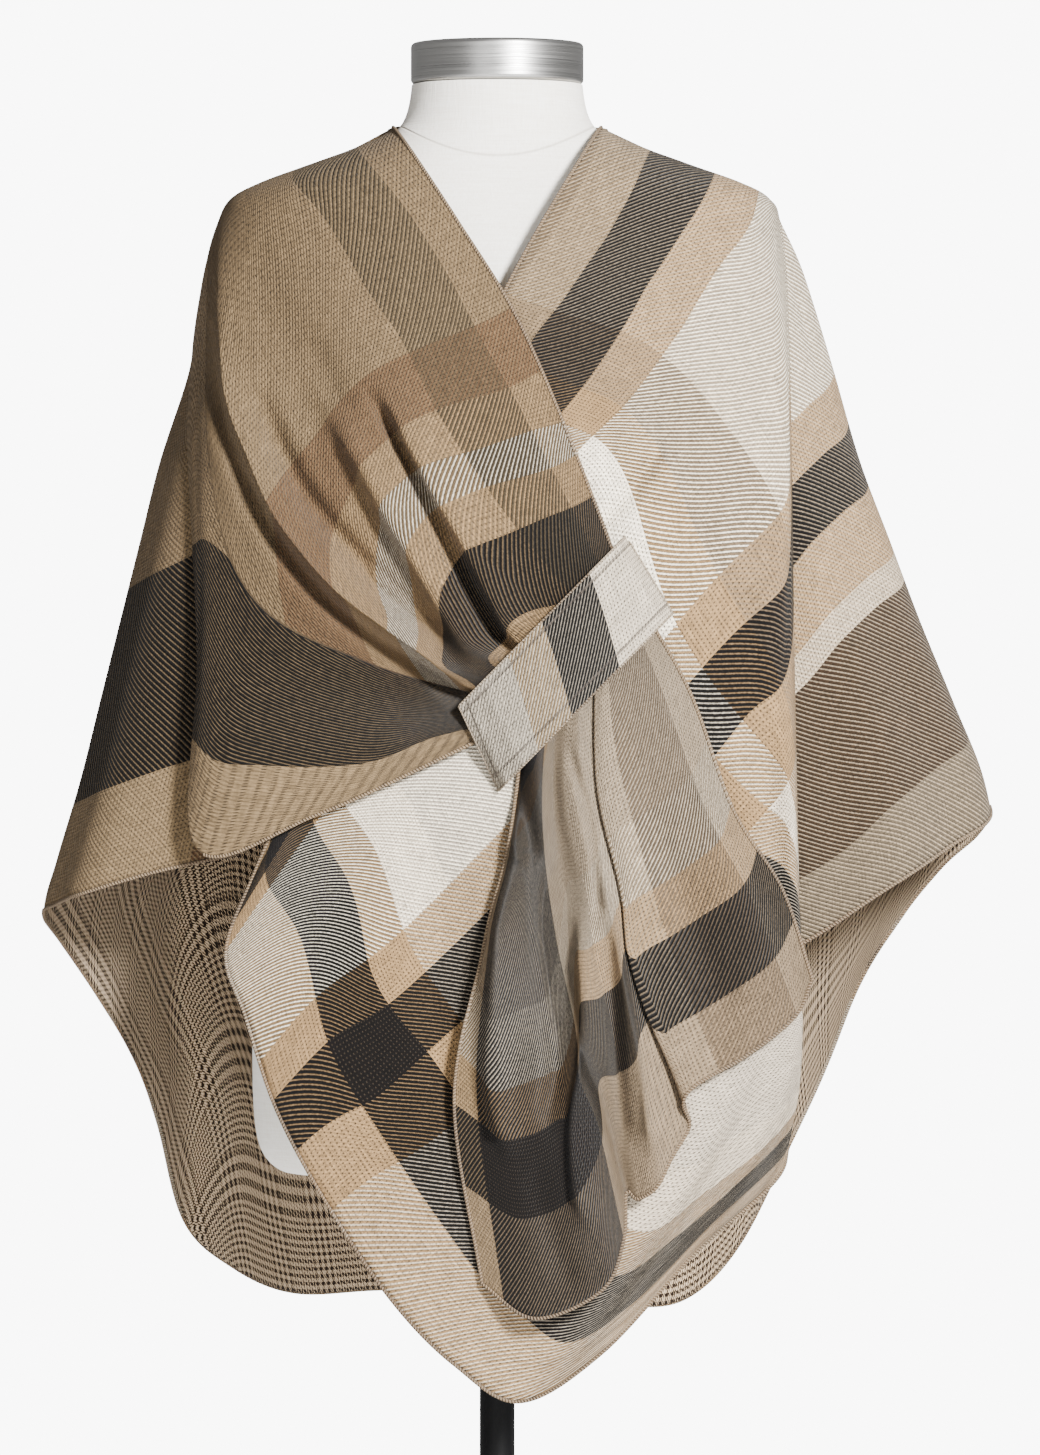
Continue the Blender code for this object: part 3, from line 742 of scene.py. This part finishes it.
def linen():
    """Cream linen stretched over the form, with the seam at the neck."""
    finish = Finish("cream_linen", 0.88, Sheen_Weight=0.15, Sheen_Roughness=0.5)
    _, (x, y, z) = finish.place()
    yarn = finish.math("ADD", *(finish.noise(finish.stretch((x, y, z), factors), 1, 3)
                                for factors in ((900, 900, 60), (40, 40, 1100))))
    rise = finish.math("MULTIPLY", finish.math("MULTIPLY", x, x), 5.0)
    seam = finish.math("ABSOLUTE", finish.math("SUBTRACT", finish.math("SUBTRACT", z, rise), 1.438))
    near = finish.spread(seam, 0.0, 0.0012, 1.0, 0.0)
    colour = finish.mix(finish.spread(yarn, 0.7, 1.3), (0.80, 0.75, 0.66, 1), (0.93, 0.90, 0.83, 1))
    colour = finish.mix(finish.math("MULTIPLY", near, 0.5), colour, (0.42, 0.36, 0.28, 1))
    finish.colour(colour)
    finish.bump(finish.math("SUBTRACT", finish.math("MULTIPLY", yarn, 0.4), near), 0.0006)
    return finish.material


def brushed_steel():
    """Neck cap: steel brushed round its rim."""
    finish = Finish("brushed_steel", 0.32, Metallic=1.0)
    _, parts = finish.place()
    lines = finish.noise(finish.stretch(parts, (6, 6, 1500)), 1, 3)
    finish.colour(finish.mix(lines, (0.33, 0.325, 0.315, 1), (0.53, 0.52, 0.50, 1)))
    finish.link(finish.spread(lines, 0.3, 0.7, 0.26, 0.42), finish.shader.inputs["Roughness"])
    finish.bump(lines, 0.0001)
    return finish.material


def black_enamel():
    """Pole and base: black powder coat with a fine orange peel."""
    finish = Finish("black_enamel", 0.5, Specular_IOR_Level=0.1)
    place, _ = finish.place()
    grain = finish.noise(place, 900, 2)
    cloud = finish.noise(place, 14, 3)
    finish.colour(finish.mix(cloud, (0.0015, 0.0015, 0.0017, 1), (0.004, 0.004, 0.0043, 1)))
    finish.link(finish.spread(cloud, 0.3, 0.7, 0.44, 0.58), finish.shader.inputs["Roughness"])
    finish.bump(grain, 0.0001, 0.6)
    return finish.material


# Dress form: height, half width, depth in front, depth behind. Its shoulder
# keeps a little below the cloth that hides it.
FORM = (
    (727, 138, 80, 82), (730, 153, 92, 95), (742, 166, 102, 105),
    (765, 171, 106, 109), (810, 172, 108, 111), (870, 171, 108, 112),
    (930, 162, 104, 105), (1000, 141, 96, 90), (1060, 128, 93, 84),
    (1120, 133, 98, 86), (1172, 146, 106, 91), (1215, 160, 114, 96),
    (1250, 169, 117, 99), (1290, 176, 111, 101), (1345, 185, 97, 97),
    (1372, 185, 88, 92), (1394, 177, 79, 84), (1408, 163, 73, 78),
    (1420, 140, 68, 72), (1431, 114, 64, 68), (1440, 94, 61, 64),
    (1452, 78, 60, 62), (1463, 65, 59, 60), (1480, 61, 59, 60),
    (1490, 60, 60, 60), (1490.8, 60, 60, 60), (1491, 59, 59, 59),
)


def start_round(name, radius, low, vertices):
    """A flat disc at a height, ready in edit mode with all of it selected."""
    bpy.ops.object.select_all(action="DESELECT")
    bpy.ops.mesh.primitive_circle_add(vertices=vertices, radius=radius * MM, fill_type="NGON",
                                      location=(0, 0, low * MM))
    piece = bpy.context.active_object
    piece.name = name
    bpy.ops.object.transform_apply(location=True, rotation=True, scale=True)
    bpy.ops.object.mode_set(mode="EDIT")
    bpy.ops.mesh.select_all(action="SELECT")
    return piece


def draw_up(rise, wide=1.0, deep=1.0, shift=0.0, middle=(0, 0, 0)):
    """Extrude the selected end upward, then resize it."""
    bpy.ops.mesh.extrude_region_move(TRANSFORM_OT_translate={"value": (0, shift * MM, rise * MM)})
    bpy.ops.transform.resize(value=(wide, deep, 1), center_override=[c * MM for c in middle])


def end_round(angle=40):
    """Close the drawn shape, faces outward, and leave edit mode."""
    bpy.ops.mesh.select_all(action="SELECT")
    bpy.ops.mesh.normals_make_consistent(inside=False)
    bpy.ops.object.mode_set(mode="OBJECT")
    bpy.ops.object.shade_smooth_by_angle(angle=radians(angle))


def make_form():
    """Torso drawn up ring by ring from its rounded lower edge to the neck."""
    low, wide, front, behind = FORM[0]
    piece = start_round("form_cover", wide, low, 64)
    middle = (behind - front) / 2
    deep = (behind + front) / 2
    bpy.ops.transform.resize(value=(1, deep / wide, 1), center_override=(0, 0, low * MM))
    bpy.ops.transform.translate(value=(0, middle * MM, 0))
    for z, next_wide, front, behind in FORM[1:]:
        next_deep, next_middle = (behind + front) / 2, (behind - front) / 2
        draw_up(z - low, next_wide / wide, next_deep / deep, next_middle - middle,
                (0, next_middle, z))
        low, wide, deep, middle = z, next_wide, next_deep, next_middle
    end_round(80)
    smooth = piece.modifiers.new("smooth", "SUBSURF")
    smooth.levels = smooth.render_levels = 2
    bpy.ops.object.modifier_apply(modifier="smooth")
    return piece


def make_disc(name, radius, low, high, edge, vertices=96):
    """Turned disc or rod with rounded edges."""
    piece = start_round(name, radius, low, vertices)
    draw_up(high - low)
    end_round()
    soft = piece.modifiers.new("soft", "BEVEL")
    soft.width = edge * MM
    soft.segments = 5
    soft.limit_method = "ANGLE"
    bpy.ops.object.modifier_apply(modifier="soft")
    bpy.ops.object.shade_smooth_by_angle(angle=radians(30))
    return piece


def dress(piece, *materials):
    piece.data.materials.clear()
    for material in materials:
        piece.data.materials.append(material)


def make_cloth(name, grid, places, flip, sides, radius=1.25):
    """A piece of the cloth and its overlocked edge."""
    return (sew_cloth(name + "_cloth", grid, places, flip),
            edge_roll(name + "_overlock", grid, places, sides, radius))


def make_sleeve(name, lines, side):
    """Front of a cape sleeve, on the wearer's left (1) or right (-1)."""
    grid = hung_grid(lines, SLEEVE_FINE, 1.0, -1)
    run, round_hem = lengths(grid, 1), lengths(grid, 0)
    along = round_hem[-1:] - round_hem if side > 0 else round_hem
    places = np.stack([side * (HALF_WIDE - (run[:, -1:] - run)), along], axis=2)
    return make_cloth(name, grid, places, True, [(("hem", 1),)])


outside = plaid_outside("plaid_wool", SHAWL_BANDS)
strap_side = plaid_outside("strap_wool", STRAP_BANDS, True)
front_side = plaid_outside("left_front_wool", FRONT_BANDS)
sleeve_side = plaid_outside("left_sleeve_wool", SLEEVE_BANDS)
tail_side = plaid_outside("tail_wool", TAIL_BANDS)
thread = overlock("overlock_thread", SHAWL_BANDS)
strap_thread = overlock("strap_thread", STRAP_BANDS)
inside = plaid_inside()

# Wearer's left front. Its edges, like those below, are (row, column, amount)
# for the warp and then the weft: rows and columns as shares of the grid.
nodes = press(panel_nodes(LEFT_FRONT, LEFT_FINE, 1.3), LEFT_FOLDS)
grid = front_grid(nodes, UNDER_LAYER)
edges = ([(0, c, 0) for c in (0, 0.5, 1)] + [(r, 1, HALF_WIDE) for r in (0.66, 0.75, 0.83, 0.92)],
         [(r, 0, 0) for r in (0.05, 0.2, 0.4)]
         + [(r, 1, FRONT_LONG) for r in (0.1, 0.25, 0.4, 0.55, 0.64)])
places = woven(grid, LEFT_WOVEN, edges)
left_front, left_edge = make_cloth("left_front", grid, places, True, [(("start", 1), ("hem", 1))])

# Wearer's right front, sunk where it lies beside the left front's slit edge
nodes = press(panel_nodes(RIGHT_FRONT, RIGHT_FINE, 1.2), RIGHT_FOLDS)
under = spline(np.array(LEFT_FRONT[0][:5], float), np.linspace(0, 4, 60))
beside = np.interp(-nodes[..., 1], -under[:, 1], under[:, 0]) - nodes[..., 0]
nodes[..., 2] = np.maximum(nodes[..., 2], np.interp(beside, (8, 24), (-4.2, -13)))
grid = front_grid(nodes, UPPER_LAYER)
edges = ([(0, c, 0) for c in (0, 0.5, 1)] + [(1, c, 345) for c in (0, 0.4, 0.7, 1)],
         [(r, 0, 0) for r in (0.0, 0.25, 0.5, 0.75, 1)] + [(0, 1, 370), (0.4, 1, 372), (1, 1, 318)])
upper = woven(grid[:POUCH_FROM], RIGHT_WOVEN, edges)
edges = ([(0, 0, 200), (0.5, 0, 235), (1, 0, 270), (1, 0.3, 425)]
         + [(1, c, HALF_WIDE) for c in (0.56, 0.75, 1)],
         [(r, 0, 5) for r in (0, 0.5, 1)] + [(r, 1, 146) for r in (0, 0.5, 1)])
pouch = woven(grid[POUCH_FROM:], POUCH_WOVEN, edges)
places = np.concatenate([upper, pouch])
places[..., 0] *= -1
right_front, right_edge = make_cloth("right_front", grid, places, False,
                                     [(("start", 1),), (("end", 0.42),)])

# Tail of the right front, below the loop, with a crease along its fifth line
nodes = panel_nodes(TAIL, TAIL_FINE, 1.0)
row = np.linspace(0, len(TAIL) - 1, TAIL_FINE[0])
drop = np.clip(np.linspace(0, 1, TAIL_FINE[1]) / 0.2, 0, 1)[None]
crease = np.exp(-((row[:, None] - 4) / 0.45) ** 2) * drop
nodes[..., 0] += 8 * crease
nodes[..., 2] -= 2 * crease
nodes = press(nodes, TAIL_FOLDS)
nodes[..., 2] = np.maximum(nodes[..., 2], -6.2)
grid = front_grid(nodes, TAIL_LAYER)
across = np.interp(row, (0, 1, 2, 3, 4, 5, 6, 7, 8, 9, 10, 10.6, 11),
                   (0, 38, 75, 112, 140, 172, 206, 290, 360, 400, 475, 515, 545))
hem_at = np.interp(row, (0, 3, 4, 6, 8, 11), (690, 690, 735, 735, 716, 716))
run = lengths(grid, 1)
places = np.stack([np.repeat(-across[:, None], TAIL_FINE[1], 1),
                   hem_at[:, None] - (run[:, -1:] - run)], axis=2)
tail, tail_edge = make_cloth("tail", grid, places, False, [(("start", 1), ("hem", 1), ("end", 1))])

# Fronts of the cape sleeves
left_sleeve, left_sleeve_edge = make_sleeve("left_sleeve", LEFT_SLEEVE, 1)
right_sleeve, right_sleeve_edge = make_sleeve("right_sleeve", RIGHT_SLEEVE, -1)

# Back: every line leaves the neck and ends on the cut's edge, which runs from
# the shoulder down the side, round the corner and along the hem to the middle
grid = hung_grid(BACK, BACK_FINE, 1.3, 1)
hem = lengths(grid[:, -1:], 0)[:, 0]
angles = np.interp(np.linspace(0, len(BACK) - 1, BACK_FINE[0]), range(len(BACK)),
                   [line[0] for line in BACK])
middle = np.interp(90, angles, hem)
bend = np.linspace(0, pi / 2, 20)
corner = [(HALF_WIDE - CORNER + CORNER * np.cos(b), BACK_LONG - CORNER + CORNER * np.sin(b))
          for b in bend]
flat = np.array([(HALF_WIDE, 0)] + corner + [(0, BACK_LONG)])
flat_run = np.concatenate([[0], np.cumsum(np.linalg.norm(np.diff(flat, axis=0), axis=1))])
ends = np.zeros((BACK_FINE[0], 2))
for i in range(BACK_FINE[0]):
    right = hem[i] <= middle
    share = hem[i] / middle if right else (hem[-1] - hem[i]) / (hem[-1] - middle)
    ends[i, 0] = np.interp(share * flat_run[-1], flat_run, flat[:, 0]) * (1 if right else -1)
    ends[i, 1] = -np.interp(share * flat_run[-1], flat_run, flat[:, 1])
run = lengths(grid, 1)
places = ends[:, None] * (run / run[:, -1:])[..., None]
back, back_edge = make_cloth("back", grid, places, True, [(("hem", 1),), (("top", 1),)])

# Loop strap
grid = strap_grid(STRAP_FINE)
places = np.stack([lengths(grid, 1), lengths(grid, 0)], axis=2)
loop, loop_edge = make_cloth("strap", grid, places, False,
                             [(("start", 1), ("hem", 1), ("end", 1), ("top", 1))], 0.7)

# Each cloth: its edge, the nodes it replaces, its flat size in metres and what
# it rests on
cloths = {
    left_front: (left_edge, ("shawl_left_front",), (0.50, 0.60), ("form_cover",)),
    right_front: (right_edge, ("shawl_right_front",), (0.42, 0.42),
                  ("form_cover", "left_front_cloth")),
    tail: (tail_edge, ("shawl_tail",), (0.36, 0.31), ("left_front_cloth",)),
    left_sleeve: (left_sleeve_edge, ("shawl_left_sleeve",), (0.40, 0.20), ("form_cover",)),
    right_sleeve: (right_sleeve_edge, ("shawl_right_sleeve",), (0.38, 0.21), ("form_cover",)),
    back: (back_edge, ("shawl_back",), (0.90, 0.70), ("form_cover",)),
    loop: (loop_edge, ("loop_strap",), (0.173, 0.06), ("left_front_cloth", "right_front_cloth")),
}
wools = {loop: strap_side, left_front: front_side, left_sleeve: sleeve_side, tail: tail_side}
form = make_form()
dress(form, linen())
cap = make_disc("cap_cover", 60.5, 1491.4, 1520, 3.0)
dress(cap, brushed_steel())
enamel = black_enamel()
pole = make_disc("pole_tube", 12.25, 8.4, 726.6, 0.5, 48)
foot = make_disc("base_plate", 180, 0, 8, 2.0, 128)
dress(pole, enamel)
dress(foot, enamel)
for piece, node, slot in ((form, "form_torso", "cream_linen"), (cap, "neck_cap", "brushed_steel"),
                          (pole, "pole", "black_enamel"), (foot, "base", "black_enamel")):
    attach(piece, "root")
    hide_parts(node)
for piece, (edge, nodes, flat, rests) in cloths.items():
    dress(piece, wools.get(piece, outside), inside)
    dress(edge, strap_thread if piece is loop else thread)
    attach(piece, "root")
    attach(edge, "root")
    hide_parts(*nodes)

# Floor, lights and camera; the backdrop is brighter than the light it gives
bpy.ops.object.select_all(action="DESELECT")
bpy.ops.mesh.primitive_plane_add(size=8, location=(0, 0, 0))
floor = bpy.context.active_object
floor.name = "pale_floor"
pale = Finish("pale_floor", 0.9)
cloud = pale.noise(pale.place()[0], 3, 2)
pale.colour(pale.mix(cloud, (0.93, 0.93, 0.93, 1), (0.97, 0.97, 0.97, 1)))
dress(floor, pale.material)

world = bpy.data.worlds.new("studio")
bpy.context.scene.world = world
world.use_nodes = True
tree = world.node_tree
sky, backdrop = tree.nodes["Background"], tree.nodes.new("ShaderNodeBackground")
for glow, strength in ((sky, 0.34), (backdrop, 9.0)):
    glow.inputs[0].default_value = (1.0, 1.0, 1.0, 1.0)
    glow.inputs[1].default_value = strength
seen = tree.nodes.new("ShaderNodeLightPath")
both = tree.nodes.new("ShaderNodeMixShader")
for one, other in ((seen.outputs["Is Camera Ray"], both.inputs[0]),
                   (sky.outputs[0], both.inputs[1]), (backdrop.outputs[0], both.inputs[2]),
                   (both.outputs[0], tree.nodes["World Output"].inputs[0])):
    tree.links.new(one, other)
for name, spot_at, size, power, aim in (
        ("key_light", (2.2, -4.2, 2.9), 0.8, 1150, (0, 0, 1.1)),
        ("fill_light", (-1.6, -4.6, 0.9), 2.0, 45, (0, 0, 1.0))):
    lamp = bpy.data.lights.new(name, "AREA")
    lamp.size = size
    lamp.energy = power
    holder = bpy.data.objects.new(name, lamp)
    holder.location = spot_at
    reach = np.array(aim) - np.array(spot_at)
    holder.rotation_euler = (pi / 2 + np.arctan2(reach[2], np.hypot(reach[0], reach[1])), 0,
                             np.arctan2(reach[1], reach[0]) - pi / 2)
    bpy.context.scene.collection.objects.link(holder)
view = bpy.data.cameras.new("camera")
view.lens = 229.7
view.sensor_width = 36
holder = bpy.data.objects.new("camera", view)
holder.location = (0.016, -6.5, 1.041)
holder.rotation_euler = (pi / 2, 0, 0)
bpy.context.scene.collection.objects.link(holder)
bpy.context.scene.camera = holder


def plain(box):
    """Corners of a box as plain numbers."""
    return [[float(c) for c in corner] for corner in box]
